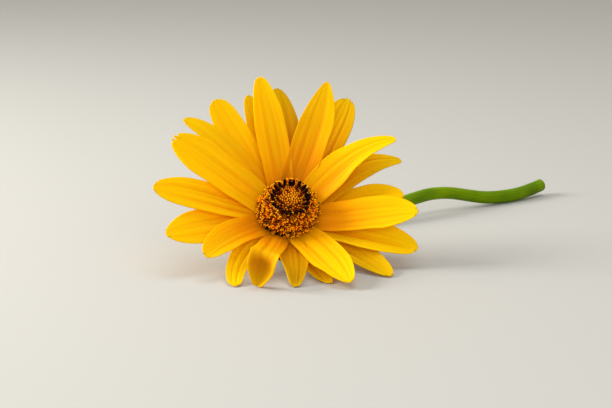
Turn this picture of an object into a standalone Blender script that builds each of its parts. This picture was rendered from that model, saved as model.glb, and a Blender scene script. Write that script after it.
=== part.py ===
"""Daisy flower, lying as picked: a yellow head of 22 ray petals on a bent green stem.

The model is in metres, with +Z up and the surface that the flower lies on at Z = 0.
Sizes below are in millimetres, and MM turns them into metres where a mesh is made.
The head is modelled in its own axes: X runs to the right across its face, Y up its face
and Z out of it. An empty carries those axes to where the head lies.
Clock angles turn clockwise from the top of the face, as seen from in front of it.
"""

import math
from collections import namedtuple

import bmesh
import bpy
import numpy as np
from mathutils import Matrix, Vector

MM = 0.001

# Where the head lies: the middle of the disc's base, and how its axis leans
HEAD_AT = (-24.6, -28.75, 14.3)
HEAD_LIFT = 45.0
HEAD_TURN = 6.0

# Ray petals: their roots stand in layers under the disc's rim
PETAL_THICK = 0.65
ROOT_RADIUS = 7.75
ROOT_WIDTH = 3.6
LAYER_DEPTH = {"front": -0.6, "middle": -1.5, "back": -2.4, "last": -3.3}
BLADE_ROWS = 10
BLADE_COLUMNS = 7

# The outline of every blade, as parts of its length: where it is widest when its tip is sharp,
# how far a blunt tip moves that place, how far its shoulders and its notches cut back
WIDEST_AT = 0.37
BLUNT_SHIFT = 0.5
SHOULDER_DROP = 0.055
NOTCH_DEPTH = 0.02

# Pleats run along a petal: how deep each is, and how many cross its width
PLEAT_DEPTH = 0.28
PLEATS = 3

# Each petal: clock angle at its root and the turn of its heading by the tip; length and width;
# rise from the head's plane at the root, its change by the tip, and where along the blade that
# change starts and ends; roll at the tip; half angle of the arc across it; how blunt the tip is
# as a part of the width; and the layer it grows in
Petal = namedtuple(
    "Petal", "clock turn length width rise bend start end roll cup blunt layer"
)
PETALS = (
    Petal(351, -3, 36, 9, 26, -8, 0.3, 1.0, -6, 12, 0.2, "front"),
    Petal(2, -10, 33.5, 10, 21, -3, 0.3, 1.0, 0, -3, 0.25, "back"),
    Petal(21, -4, 35.5, 10, 30, -6, 0.3, 1.0, 0, 12, 0.15, "front"),
    Petal(33, -5, 34.5, 9.5, 20, 0, 0.3, 1.0, -1, -3, 0.4, "back"),
    Petal(52, 35, 34, 9.5, 31, -14, 0.3, 1.0, 2, 10, 0.12, "front"),
    Petal(61, 19, 33, 8, 23, -22, 0.3, 1.0, 1, 5, 0.10, "middle"),
    Petal(83, 7, 28, 10.5, 14, 2, 0.3, 1.0, -1, -3, 0.25, "back"),
    Petal(101, -4, 31.5, 11, 19, -4, 0.3, 1.0, 1, 12, 0.3, "front"),
    Petal(114, -5, 33, 10, 12, -16, 0.3, 1.0, 0, 6, 0.25, "middle"),
    Petal(126, 16, 32, 8.5, 9, 20, 0.3, 1.0, 12, 4, 0.25, "back"),
    Petal(152, 10, 33, 10, 31, -3, 0.3, 1.0, 1, 12, 0.25, "front"),
    Petal(163, -4, 27, 7, 25, 6, 0.3, 1.0, 1, -2, 0.15, "back"),
    Petal(180, 4, 28, 7.5, 30, -8, 0.3, 1.0, 1, 13, 0.18, "middle"),
    Petal(203, -5, 34.5, 8.5, 46, -94, 0.6, 0.8, 0, 14, 0.27, "front"),
    Petal(225, -33, 29.5, 6.8, 20.5, 2, 0.3, 1.0, 3, -2, 0.4, "back"),
    Petal(238, -9, 26.5, 8.5, 22, -4, 0.3, 1.0, 3, 12, 0.3, "front"),
    Petal(256, -11, 33.5, 11.5, 22, 0, 0.3, 1.0, 3, -3, 0.2, "back"),
    Petal(275, -8, 35.5, 10.5, 25, 0, 0.3, 1.0, 2, 6, 0.25, "middle"),
    Petal(297, 3, 34, 11.5, 28, -4, 0.3, 1.0, 2, 12, 0.4, "front"),
    Petal(314, -10, 35.5, 8, 25, -16, 0.3, 1.0, -1, 5, 0.2, "middle"),
    Petal(330, 0, 35, 9.5, 22, 0, 0.3, 1.0, -1, -3, 0.35, "back"),
    Petal(345, 2, 33.5, 7, 17, 0, 0.3, 1.0, -1, -3, 0.3, "last"),
)

# Receptacle: the green cushion at the stem's end, which carries the petals and the florets
RIM_RADIUS = 7.3
CUSHION_RADIUS = 5.0
CUSHION_HEIGHT = 5.7
UNDERSIDE = ((7.3, -4.0), (5.2, -5.0), (3.4, -6.0), (2.3, -7.1), (1.8, -8.4))
HEAD_SIDES = 32

# Disc: a domed core in three bands, one object each, with florets on every band
DISC_RADIUS = 7.6
DISC_BASE = 0.3
DISC_HEIGHT = 8.1
DISC_FULLNESS = 2.3
CORE_GAP = 0.3
GOLDEN_ANGLE = 137.508
FLORET_SIDES = 5

# Each band: the shares of the way from the rim to the middle where its core starts and ends,
# and where its florets do; how many there are, how far they lean towards the head's axis and
# how deep they are sunk; and a floret's outline from its root up, as radii and heights
Band = namedtuple("Band", "name first last floret_first floret_last count lean sink profile")
OPEN_FLORETS = Band(
    "disc_florets_open", 0.0, 0.55, 0.07, 0.51, 100, 0.55, 1.1,
    ((0.0, 0.0), (0.4, 0.0), (0.74, 3.0), (0.0, 2.6)),
)
DARK_FLORETS = Band(
    "disc_florets_dark", 0.58, 0.77, 0.65, 0.73, 34, 0.0, 1.1,
    ((0.0, 0.0), (0.36, 0.0), (0.46, 2.9), (0.0, 3.3)),
)
BUDS = Band(
    "disc_buds", 0.80, 1.0, 0.87, 1.0, 24, 0.0, 0.9,
    ((0.0, 0.0), (0.42, 0.0), (0.36, 1.5), (0.0, 1.9)),
)

# Involucre: green bracts on a thin cup under the receptacle
CUP_GAP = 0.45
CUP_THICK = 1.1
BRACTS_A_ROW = 8
BRACT_LENGTH = 9.4
BRACT_THICK = 0.7
BRACT_ROOT_WIDTH = 2.2
BRACT_TURN = 11.0
BRACT_BEND = 6.0
BRACT_CUP = 12.0
BRACT_BLUNT = 0.25
BRACT_ROWS_AND_COLUMNS = 5
# Root radius, root depth, rise and width of the lower row, then of the upper one
BRACT_RINGS = ((4.2, -6.55, 4.0, 4.8), (5.8, -5.7, 12.0, 4.4))

# Stem: the points its centre line passes through, from the neck to the cut end, measured from
# the surface point below the middle of the disc's base, and its radius at both ends
STEM_ROUTE = (
    (-0.6, 5.6, 8.6),
    (-0.9, 10.0, 5.0),
    (0.0, 17.0, 2.1),
    (4.0, 26.0, 1.75),
    (12.0, 33.5, 2.2),
    (24.0, 42.0, 3.6),
    (34.0, 50.0, 5.0),
    (41.0, 56.0, 5.9),
    (47.0, 61.5, 6.2),
    (53.0, 65.5, 5.6),
    (59.0, 68.8, 4.1),
    (65.0, 71.8, 2.7),
    (71.0, 75.2, 2.1),
    (77.5, 79.8, 2.1),
    (83.0, 85.3, 2.6),
    (86.5, 89.0, 3.1),
)
NECK_RADIUS = 1.75
CUT_END_RADIUS = 2.15
STEM_STEPS = 48
STEM_SIDES = 12

# Edges that bend more than this, in degrees, are drawn sharp
SHARP_ANGLE = 50.0

# The cutter that presses the lowest spots flat is this wide
SURFACE_SIZE = 300.0

# Colours, as linear red, green and blue
PETAL_YELLOW = (0.93, 0.52, 0.01)
FLORET_ORANGE = (0.62, 0.21, 0.012)
FLORET_MAROON = (0.022, 0.004, 0.008)
BUD_AMBER = (0.72, 0.38, 0.03)
STEM_GREEN = (0.13, 0.24, 0.012)
BRACT_GREEN = (0.03, 0.09, 0.012)


def clear_scene():
    for thing in list(bpy.data.objects):
        bpy.data.objects.remove(thing)


def material(name, colour, roughness):
    made = bpy.data.materials.new(name)
    made.use_nodes = True
    shader = made.node_tree.nodes["Principled BSDF"]
    shader.inputs["Base Color"].default_value = (*colour, 1.0)
    shader.inputs["Roughness"].default_value = roughness
    shader.inputs["Metallic"].default_value = 0.0
    made.diffuse_color = (*colour, 1.0)
    return made


def head_matrix():
    """The head's right, up and out directions as columns, and its place, in metres."""
    lift = math.radians(HEAD_LIFT)
    turn = math.radians(HEAD_TURN)
    out = Vector(
        (math.sin(turn) * math.cos(lift), -math.cos(turn) * math.cos(lift), math.sin(lift))
    )
    up = Vector(
        (-math.sin(turn) * math.sin(lift), math.cos(turn) * math.sin(lift), math.cos(lift))
    )
    right = up.cross(out)
    axes = Matrix((right, up, out)).transposed().to_4x4()
    axes.translation = Vector(HEAD_AT) * MM
    return axes


def add_object(name, mesh, parent=None, finish=None):
    made = bpy.data.objects.new(name, mesh)
    bpy.context.scene.collection.objects.link(made)
    made.parent = parent
    if finish:
        mesh.materials.append(finish)
    return made


def shade(mesh):
    """Smooth shading, with the real edges kept sharp."""
    mesh.shade_smooth()
    mesh.set_sharp_from_angle(angle=math.radians(SHARP_ANGLE))


def bend_share(along, start, end):
    """How much of a bend is done at each place along a blade, from 0 to 1."""
    share = np.clip((along - start) / (end - start), 0.0, 1.0)
    return share * share * (3.0 - 2.0 * share)


def centre_line(blade, root_radius, depth, samples=121):
    """The blade's middle line and its headings, in millimetres in the head's axes."""
    along = np.linspace(0.0, 1.0, samples)
    heading = np.radians(blade.clock + blade.turn * along)
    lift = np.radians(blade.rise + blade.bend * bend_share(along, blade.start, blade.end))
    across = np.stack([np.sin(heading), np.cos(heading)], axis=1)
    forward = np.column_stack([across * np.cos(lift)[:, None], np.sin(lift)])
    step = blade.length / (samples - 1)
    walked = np.vstack([np.zeros(3), np.cumsum((forward[1:] + forward[:-1]) / 2, axis=0)])
    first = np.radians(blade.clock)
    root = np.array([np.sin(first) * root_radius, np.cos(first) * root_radius, depth])
    side = np.column_stack([np.cos(heading), -np.sin(heading), np.zeros(samples)])
    return along, root + walked * step, forward, side


def half_width(along, blade, root_width):
    """A claw that widens to the blade's widest place, nearer the tip the blunter it is."""
    claw = root_width / blade.width
    widest_at = WIDEST_AT + BLUNT_SHIFT * blade.blunt
    grown = np.sin(np.pi / 2 * np.clip(along / widest_at, 0.0, 1.0)) ** 1.1
    past = np.clip((along - widest_at) / (1.0 - widest_at), 0.0, 1.0)
    fullness = max(0.5, 1.0 - 1.6 * blade.blunt)
    rounded = (1.0 - past ** (1.4 + 3.6 * blade.blunt)) ** fullness
    tip = blade.blunt + (1.0 - blade.blunt) * rounded
    return blade.width / 2 * (claw + (1.0 - claw) * grown) * tip


def blade_points(blade, rows, columns, root_radius, depth, root_width, pleat, notch):
    """The middle surface of a blade, as rows by columns of points in the head's axes."""
    along, line, forward, side = centre_line(blade, root_radius, depth)
    # The rows stand a little closer together towards the tip, where the outline turns fastest.
    share = 1.0 - (1.0 - np.linspace(0.0, 1.0, rows)) ** 1.15
    across = np.linspace(-1.0, 1.0, columns)
    row, column = np.meshgrid(share, across, indexing="ij")
    lobes = np.cos(PLEATS * np.pi * column)
    lost = SHOULDER_DROP * column**2 + notch * (1.0 + lobes) / 2
    place = row - lost * row**5
    at = np.stack([np.interp(place, along, line[:, k]) for k in range(3)], axis=-1)
    ahead = np.stack([np.interp(place, along, forward[:, k]) for k in range(3)], axis=-1)
    aside = np.stack([np.interp(place, along, side[:, k]) for k in range(3)], axis=-1)
    above = np.cross(aside, ahead)
    roll = np.radians(blade.roll * place)[..., None]
    out = np.cos(roll) * aside + np.sin(roll) * above
    over = np.cos(roll) * above - np.sin(roll) * aside
    half = half_width(row, blade, root_width)
    arc = math.radians(blade.cup)
    reach = half * np.sin(arc * column) / arc
    height = half * (1.0 - np.cos(arc * column)) / arc
    height = height - pleat * lobes * np.sin(np.pi * row) ** 0.6
    return at + reach[..., None] * out + height[..., None] * over


def blade_mesh(name, points):
    """A sheet of triangles through the points, alike on both faces once it is thickened."""
    rows, columns = points.shape[:2]
    sheet = bmesh.new()
    bmesh.ops.create_grid(sheet, x_segments=columns - 1, y_segments=rows - 1, size=1.0)
    for vertex in sheet.verts:
        column = round((vertex.co.x + 1.0) / 2.0 * (columns - 1))
        row = round((vertex.co.y + 1.0) / 2.0 * (rows - 1))
        vertex.co = Vector(points[row, column]) * MM
    bmesh.ops.triangulate(sheet, faces=sheet.faces)
    mesh = bpy.data.meshes.new(name)
    sheet.to_mesh(mesh)
    sheet.free()
    mesh.shade_smooth()
    return mesh


def thicken(thing, thickness):
    solid = thing.modifiers.new("thickness", "SOLIDIFY")
    solid.thickness = thickness * MM
    solid.offset = 0.0


def cut_at_surface(thing, ground):
    """Presses the lowest edge flat, where the piece rests on the surface."""
    cut = thing.modifiers.new("resting spot", "BOOLEAN")
    cut.operation = "DIFFERENCE"
    cut.object = ground


def turned(name, profile, sides):
    """A solid of revolution about Z from a closed profile of radii and heights."""
    shape = bmesh.new()
    loop = [shape.verts.new((radius * MM, 0.0, height * MM)) for radius, height in profile]
    edges = [shape.edges.new(pair) for pair in zip(loop, loop[1:])]
    if profile[0][0] > 0.0 or profile[-1][0] > 0.0:
        edges.append(shape.edges.new((loop[-1], loop[0])))
    bmesh.ops.spin(
        shape,
        geom=loop + edges,
        cent=(0, 0, 0),
        axis=(0, 0, 1),
        angle=2 * math.pi,
        steps=sides,
    )
    bmesh.ops.remove_doubles(shape, verts=shape.verts, dist=1e-7)
    bmesh.ops.recalc_face_normals(shape, faces=shape.faces)
    mesh = bpy.data.meshes.new(name)
    shape.to_mesh(mesh)
    shape.free()
    shade(mesh)
    return mesh


def dome_point(share, radius, height, base):
    """A point of the disc's outline, from the rim at share 0 to the middle at share 1."""
    angle = share * math.pi / 2
    power = 2.0 / DISC_FULLNESS
    if share >= 1.0:
        return 0.0, base + height
    return radius * math.cos(angle) ** power, base + height * math.sin(angle) ** power


def cushion_outline(first, last, steps):
    shares = [first + (last - first) * k / steps for k in range(steps + 1)]
    reach = CUSHION_RADIUS + CORE_GAP
    rise = CUSHION_HEIGHT + CORE_GAP
    return [dome_point(share, reach, rise, DISC_BASE) for share in shares]


def disc_outline(first, last, steps):
    shares = [first + (last - first) * k / steps for k in range(steps + 1)]
    return [dome_point(share, DISC_RADIUS, DISC_HEIGHT, DISC_BASE) for share in shares]


def fuse(thing, extras):
    """Joins the extras to the thing as one body, and removes them."""
    group = bpy.data.collections.new(thing.name + " extras")
    bpy.context.scene.collection.children.link(group)
    for extra in extras:
        bpy.context.scene.collection.objects.unlink(extra)
        group.objects.link(extra)
    join = thing.modifiers.new("join", "BOOLEAN")
    join.operation = "UNION"
    join.operand_type = "COLLECTION"
    join.collection = group
    bpy.context.view_layer.update()
    graph = bpy.context.evaluated_depsgraph_get()
    whole = bpy.data.meshes.new_from_object(thing.evaluated_get(graph))
    thing.modifiers.clear()
    thing.data = whole
    for extra in extras:
        bpy.data.objects.remove(extra)
    bpy.data.collections.remove(group)


def ray_petal(number, blade, head, finish, ground):
    points = blade_points(
        blade,
        BLADE_ROWS,
        BLADE_COLUMNS,
        ROOT_RADIUS,
        LAYER_DEPTH[blade.layer],
        ROOT_WIDTH,
        PLEAT_DEPTH,
        NOTCH_DEPTH,
    )
    name = f"ray_petal_{number:02d}"
    made = add_object(name, blade_mesh(name, points), head, finish)
    thicken(made, PETAL_THICK)
    axes = head_matrix()
    lowest = min((axes @ vertex.co).z for vertex in made.data.vertices)
    if lowest < PETAL_THICK * MM:
        cut_at_surface(made, ground)


def floret_places(first, last, count):
    """Places and outward directions of a band's florets, evenly spread in spirals."""
    samples = 60
    outline = np.array(disc_outline(first, last, samples - 1))
    runs = np.hypot(*np.diff(outline, axis=0).T)
    rings = runs * (outline[1:, 0] + outline[:-1, 0])
    area = np.concatenate([[0.0], np.cumsum(rings)]) / rings.sum()
    numbers = np.arange(float(samples))
    places = []
    for k in range(count):
        at = np.interp((k + 0.5) / count, area, numbers)
        radius = float(np.interp(at, numbers, outline[:, 0]))
        height = float(np.interp(at, numbers, outline[:, 1]))
        low = min(int(at), samples - 2)
        along = outline[low + 1] - outline[low]
        normal = np.array([along[1], -along[0]]) / np.hypot(*along)
        turn = math.radians(k * GOLDEN_ANGLE)
        around = Vector((math.sin(turn), math.cos(turn), 0.0))
        place = around * radius + Vector((0.0, 0.0, height))
        out = around * float(normal[0]) + Vector((0.0, 0.0, float(normal[1])))
        places.append((place, out))
    return places


def band_of_florets(band, head, finish):
    """One band of the disc: a turned core with its florets fused to it."""
    steps = max(3, round((band.last - band.first) * 12))
    outer = disc_outline(band.first, band.last, steps)
    inner = cushion_outline(band.last, band.first, max(2, steps - 1))
    core = add_object(band.name, turned(band.name, outer + inner, HEAD_SIDES), head, finish)
    bpy.context.view_layer.update()
    shape = turned("floret", band.profile, FLORET_SIDES)
    florets = []
    for place, out in floret_places(band.floret_first, band.floret_last, band.count):
        out = (out + Vector((0.0, 0.0, band.lean))).normalized()
        floret = add_object("floret", shape, head)
        floret.location = (place - out * band.sink) * MM
        floret.rotation_euler = out.to_track_quat("Z", "Y").to_euler()
        florets.append(floret)
    fuse(core, florets)
    shade(core.data)


def disc(head):
    """The three bands of the disc, from open florets at the rim to buds in the middle."""
    band_of_florets(OPEN_FLORETS, head, material("floret orange", FLORET_ORANGE, 0.6))
    band_of_florets(DARK_FLORETS, head, material("floret maroon", FLORET_MAROON, 0.5))
    band_of_florets(BUDS, head, material("bud amber", BUD_AMBER, 0.55))


def involucre(head):
    """Two rows of bracts, fused to the cup that carries them."""
    finish = material("bract green", BRACT_GREEN, 0.6)
    cup_wall = UNDERSIDE[:3]
    inner = [(radius, depth - CUP_GAP) for radius, depth in cup_wall]
    outer = [(radius, depth - CUP_GAP - CUP_THICK) for radius, depth in cup_wall]
    wall = turned("involucre", inner + outer[::-1], HEAD_SIDES)
    cup = add_object("involucre", wall, head, finish)
    bracts = []
    for ring, (root, depth, rise, width) in enumerate(BRACT_RINGS):
        for k in range(BRACTS_A_ROW):
            clock = (k + 0.5 * ring) * 360.0 / BRACTS_A_ROW + BRACT_TURN
            blade = Petal(
                clock=clock,
                turn=0.0,
                length=BRACT_LENGTH,
                width=width,
                rise=rise,
                bend=BRACT_BEND,
                start=0.4,
                end=1.0,
                roll=0.0,
                cup=BRACT_CUP,
                blunt=BRACT_BLUNT,
                layer=None,
            )
            grid = BRACT_ROWS_AND_COLUMNS
            points = blade_points(blade, grid, grid, root, depth, BRACT_ROOT_WIDTH, 0.0, 0.0)
            bract = add_object("bract", blade_mesh("bract", points), head)
            thicken(bract, BRACT_THICK)
            bracts.append(bract)
    bpy.context.view_layer.update()
    fuse(cup, bracts)
    shade(cup.data)


def smooth_route(points, steps):
    """Points evenly spread along a smooth curve through the given ones."""
    between = 20
    given = [Vector(p) for p in points]
    given = [given[0] * 2 - given[1]] + given + [given[-1] * 2 - given[-2]]
    fine = []
    for a, b, c, d in zip(given, given[1:], given[2:], given[3:]):
        for k in range(between):
            t = k / between
            fine.append(
                (
                    b * 2
                    + (c - a) * t
                    + (a * 2 - b * 5 + c * 4 - d) * t**2
                    + (b * 3 - a - c * 3 + d) * t**3
                )
                / 2
            )
    fine.append(given[-2])
    line = np.array([tuple(p) for p in fine])
    run = np.concatenate([[0.0], np.cumsum(np.linalg.norm(np.diff(line, axis=0), axis=1))])
    wanted = np.linspace(0.0, run[-1], steps)
    return np.stack([np.interp(wanted, run, line[:, k]) for k in range(3)], axis=1)


def stem(head, ground):
    """The stem, swept along its route, with the receptacle grown on its end."""
    finish = material("stem green", STEM_GREEN, 0.45)
    route = bpy.data.curves.new("stem route", "CURVE")
    route.dimensions = "3D"
    route.bevel_depth = MM
    route.bevel_resolution = STEM_SIDES // 4 - 1
    route.use_fill_caps = True
    line = route.splines.new("POLY")
    places = smooth_route(STEM_ROUTE, STEM_STEPS)
    line.points.add(len(places) - 1)
    below = Vector((HEAD_AT[0], HEAD_AT[1], 0.0))
    for k, (point, place) in enumerate(zip(line.points, places)):
        point.co = (*((Vector(place) + below) * MM), 1.0)
        point.radius = NECK_RADIUS + (CUT_END_RADIUS - NECK_RADIUS) * k / (STEM_STEPS - 1)
    swept = bpy.data.objects.new("stem route", route)
    bpy.context.scene.collection.objects.link(swept)
    bpy.context.view_layer.update()
    graph = bpy.context.evaluated_depsgraph_get()
    mesh = bpy.data.meshes.new_from_object(swept.evaluated_get(graph))
    bpy.data.objects.remove(swept)
    shape = bmesh.new()
    shape.from_mesh(mesh)
    bmesh.ops.remove_doubles(shape, verts=shape.verts, dist=1e-6)
    bmesh.ops.recalc_face_normals(shape, faces=shape.faces)
    shape.to_mesh(mesh)
    shape.free()
    made = add_object("stem", mesh, None, finish)
    cushion = [dome_point(k / 5, CUSHION_RADIUS, CUSHION_HEIGHT, 0.0) for k in range(6)]
    under = [(0.0, UNDERSIDE[-1][1])] + [tuple(p) for p in UNDERSIDE[::-1]]
    profile = under + [(RIM_RADIUS, 0.0)] + cushion
    receptacle = add_object("receptacle", turned("receptacle", profile, HEAD_SIDES), head)
    fuse(made, [receptacle])
    shade(made.data)
    cut_at_surface(made, ground)


def surface_cutter():
    """A box whose top face is the surface that the flower lies on."""
    box = bmesh.new()
    bmesh.ops.create_cube(box, size=SURFACE_SIZE * MM)
    bmesh.ops.translate(box, verts=box.verts, vec=(0.0, 0.0, -SURFACE_SIZE * MM / 2))
    mesh = bpy.data.meshes.new("surface cutter")
    box.to_mesh(mesh)
    box.free()
    cutter = add_object("surface_cutter", mesh)
    cutter.hide_render = True
    cutter.display_type = "WIRE"
    return cutter


def main():
    clear_scene()
    head = add_object("flower_head", None)
    head.matrix_world = head_matrix()
    bpy.context.view_layer.update()
    ground = surface_cutter()
    yellow = material("petal yellow", PETAL_YELLOW, 0.5)
    for number, blade in enumerate(PETALS, start=1):
        ray_petal(number, blade, head, yellow, ground)
    disc(head)
    involucre(head)
    stem(head, ground)


main()
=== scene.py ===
# %% [markdown]
# A yellow daisy, picked and laid down
# The part's solids hold the flower's real sizes. This lesson dresses them: each petal, floret,
# bract and the stem gets a finer mesh in the same place, and a finish made of shader nodes.
# The solids come first, because every piece below is placed by them. The box round them is
# kept, to compare with the box of the dressed flower at the end.

import math
import random
from collections import namedtuple

import bmesh
import bpy
import numpy as np
from mathutils import Matrix, Vector


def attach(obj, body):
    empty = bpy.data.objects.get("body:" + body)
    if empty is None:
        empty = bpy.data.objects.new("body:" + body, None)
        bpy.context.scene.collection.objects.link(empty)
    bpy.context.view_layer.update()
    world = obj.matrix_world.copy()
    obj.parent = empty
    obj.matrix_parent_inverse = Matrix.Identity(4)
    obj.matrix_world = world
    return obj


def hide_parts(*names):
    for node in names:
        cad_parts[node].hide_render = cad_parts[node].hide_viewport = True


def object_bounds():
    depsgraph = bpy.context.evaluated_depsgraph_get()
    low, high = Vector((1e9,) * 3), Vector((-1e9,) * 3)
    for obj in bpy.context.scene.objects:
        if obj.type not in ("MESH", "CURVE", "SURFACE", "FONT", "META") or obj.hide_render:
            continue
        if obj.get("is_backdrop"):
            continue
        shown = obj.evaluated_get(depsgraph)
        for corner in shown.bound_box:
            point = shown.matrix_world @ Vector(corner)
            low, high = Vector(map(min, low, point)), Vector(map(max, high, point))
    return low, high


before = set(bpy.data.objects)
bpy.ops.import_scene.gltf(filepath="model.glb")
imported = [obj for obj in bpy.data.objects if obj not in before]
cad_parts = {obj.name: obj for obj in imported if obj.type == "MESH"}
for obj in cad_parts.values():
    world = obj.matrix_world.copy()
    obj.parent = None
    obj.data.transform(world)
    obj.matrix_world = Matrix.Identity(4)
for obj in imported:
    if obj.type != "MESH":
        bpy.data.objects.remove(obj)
solid_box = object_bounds()

# %% [markdown]
# A daisy's head is round, so it is easiest to shape in axes of its own: X to the right across
# its face, Y up its face and Z out of it. One matrix then carries all of it to where it lies.
# Clock angles turn clockwise from the top of the face, as seen from in front of it. Lengths are
# in millimetres until that matrix has made them metres.

# %% The head's own axes
MM = 0.001
HEAD_AT = Vector((-24.6, -28.75, 14.3))
HEAD_LIFT = math.radians(45.0)
HEAD_TURN = math.radians(6.0)


def head_matrix():
    """The head's right, up and out directions as columns, and its place, in metres."""
    flat = Vector((math.sin(HEAD_TURN), -math.cos(HEAD_TURN), 0.0))
    out = flat * math.cos(HEAD_LIFT) + Vector((0.0, 0.0, math.sin(HEAD_LIFT)))
    up = -flat * math.sin(HEAD_LIFT) + Vector((0.0, 0.0, math.cos(HEAD_LIFT)))
    axes = Matrix((up.cross(out), up, out)).transposed().to_4x4()
    axes.translation = HEAD_AT * MM
    return axes


HEAD = head_matrix()
print("the head looks along", [round(x, 2) for x in HEAD.col[2][:3]])

# %% [markdown]
# Colours are picked as sRGB hex values, the way a colour card gives them, while a shader counts
# in linear light. One function turns the one into the other, with the standard's own numbers.

# %% Colours in linear light


def linear(code):
    """The linear red, green, blue and alpha of an sRGB hex colour."""
    parts = [int(code[k : k + 2], 16) / 255 for k in (1, 3, 5)]
    return [c / 12.92 if c <= 0.04045 else ((c + 0.055) / 1.055) ** 2.4 for c in parts] + [1.0]


print("a petal's yellow in linear light:", [round(c, 3) for c in linear("#FFD000")[:3]])

# %% [markdown]
# A finish is a chain of shader nodes. They could be wired by hand in the editor, but in a script
# each one is a line that can be read and changed. One helper starts a material. The other adds
# any node to it: its settings are set, then each input is either linked or given a value.

# %% Nodes one by one


def new_material(name):
    """A material with nothing in it, and its node tree."""
    made = bpy.data.materials.new(name)
    made.use_nodes = True
    made.node_tree.nodes.clear()
    return made, made.node_tree


def add_node(tree, kind, settings, inputs):
    """Adds a node with its settings, and links each input to a socket or sets it to a value."""
    made = tree.nodes.new(kind)
    for name, value in settings.items():
        setattr(made, name, value)
    for name, value in inputs.items():
        if isinstance(value, bpy.types.NodeSocket):
            tree.links.new(value, made.inputs[name])
        else:
            made.inputs[name].default_value = value
    return made


print("helpers for nodes:", new_material.__name__, add_node.__name__)

# %% [markdown]
# A few kinds of node come back in every finish: sums, mixed colours, the surface itself. Each
# gets a helper that hands back its output, so that a material further on reads like a recipe.

# %% Sums, colours and surfaces
# A Mix node keeps its colour sockets at these places, after those for numbers and vectors.
MIX_FROM = 6
MIX_TO = 7
MIX_RESULT = 2


def calculate(tree, operation, *values, clamp=False):
    """One sum with up to three numbers, held between 0 and 1 if it is clamped."""
    settings = {"operation": operation, "use_clamp": clamp}
    return add_node(tree, "ShaderNodeMath", settings, dict(enumerate(values))).outputs[0]


def follow(tree, value, low, high, at_low, at_high):
    """A number that goes from at_low to at_high while the value goes from low to high."""
    inputs = dict(enumerate((value, low, high, at_low, at_high)))
    return add_node(tree, "ShaderNodeMapRange", {}, inputs).outputs[0]


def mix_colours(tree, share, first, second):
    """The first colour where the share is 0, the second where it is 1."""
    settings = {"data_type": "RGBA", "blend_type": "MIX"}
    inputs = {0: share, MIX_FROM: first, MIX_TO: second}
    return add_node(tree, "ShaderNodeMix", settings, inputs).outputs[MIX_RESULT]


def colour_ramp(tree, value, steps):
    """A colour for every value, through steps of a place and a hex colour."""
    made = add_node(tree, "ShaderNodeValToRGB", {}, {0: value})
    points = made.color_ramp.elements
    while len(points) < len(steps):
        points.new(1.0)
    for point, (place, code) in zip(points, steps):
        point.position = place
        point.color = linear(code)
    return made.outputs[0]


def principled(tree, inputs):
    """The everyday surface shader."""
    return add_node(tree, "ShaderNodeBsdfPrincipled", {}, inputs).outputs[0]


def cover(tree, shader):
    """Makes a shader the surface of its material."""
    add_node(tree, "ShaderNodeOutputMaterial", {}, {"Surface": shader})


print("a Mix node's colour sockets:", MIX_FROM, MIX_TO, "and its result:", MIX_RESULT)

# %% [markdown]
# No plant tissue is quite even, so each finish gets fine patterns. Painted images could give
# them, but noise stays sharp however close the camera comes. On a blade the pattern has to run
# along, so it reads the blade's own UV map. Elsewhere it reads the piece's Object coordinates.

# %% Patterns
ACROSS = 0
ALONG = 1


def carried(tree, name):
    """A number that every point of the mesh carries under this name."""
    return add_node(tree, "ShaderNodeAttribute", {"attribute_name": name}, {}).outputs["Fac"]


def blade_map(tree):
    """A blade's own map: its U runs from side to side and its V from the root to the tip."""
    return add_node(tree, "ShaderNodeUVMap", {"uv_map": "blade"}, {}).outputs[0]


def share_of(tree, place, direction):
    """How far across or along a blade a place on its map is, from 0 to 1."""
    return add_node(tree, "ShaderNodeSeparateXYZ", {}, {0: place}).outputs[direction]


def noise(tree, place, scale, detail, seed=None):
    """A cloudy pattern. A seed moves it on, so that two pieces don't share one."""
    settings = {} if seed is None else {"noise_dimensions": "4D"}
    inputs = {"Vector": place, "Scale": scale, "Detail": detail}
    if seed is not None:
        inputs["W"] = seed
    return add_node(tree, "ShaderNodeTexNoise", settings, inputs).outputs[0]


def object_noise(tree, scale, detail):
    """A cloudy pattern in the piece's own space, so many times to the metre."""
    spot = add_node(tree, "ShaderNodeTexCoord", {}, {})
    return noise(tree, spot.outputs["Object"], scale, detail)


def streaks(tree, place, across, along, detail, seed=None):
    """Noise on a blade's map, drawn out along it: how often it changes across and along."""
    drawn = add_node(tree, "ShaderNodeMapping", {}, {0: place, "Scale": (across, along, 1.0)})
    return noise(tree, drawn.outputs[0], 1.0, detail, seed)


def relief(tree, pattern, strength, depth):
    """Shading normals from a pattern that seems to stand out by a depth in millimetres."""
    inputs = {"Strength": strength, "Distance": depth * MM, "Height": pattern}
    return add_node(tree, "ShaderNodeBump", {}, inputs).outputs[0]


print("a speckle of 0.5 mm repeats", round(1.0 / (0.5 * MM)), "times to the metre")

# %% [markdown]
# A ray petal is the strap of one floret: a blade of soft tissue about 0.3 mm thick, coloured by
# carotenoid pigments and full of tiny air gaps. So it is satin where light meets it and glows
# where light comes through it. A satin shader alone would look like painted card, so it is mixed
# with a translucent one. The pigment is densest near the root, which makes it orange there, and
# fine veins run lengthwise, a little deeper in colour than the tissue between them.

# %% Petal tissue
# From the orange of the root to the yellow of the tip. The first, brownest steps also serve as
# painted shade, where extra pigment or a hollow reaches them.
PETAL_COLOURS = [
    (0.0, "#BC7400"),
    (0.1, "#E08A00"),
    (0.22, "#F6A200"),
    (0.36, "#FDBE00"),
    (0.6, "#FFD000"),
    (1.0, "#FFDC00"),
]
VEIN_ORANGE = linear("#F6AC00")
# Painted shade: the orange that deepens the grooves
GROOVE_SHADE_ORANGE = linear("#EE9400")
GLOW_YELLOW = linear("#FFD000")
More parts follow.
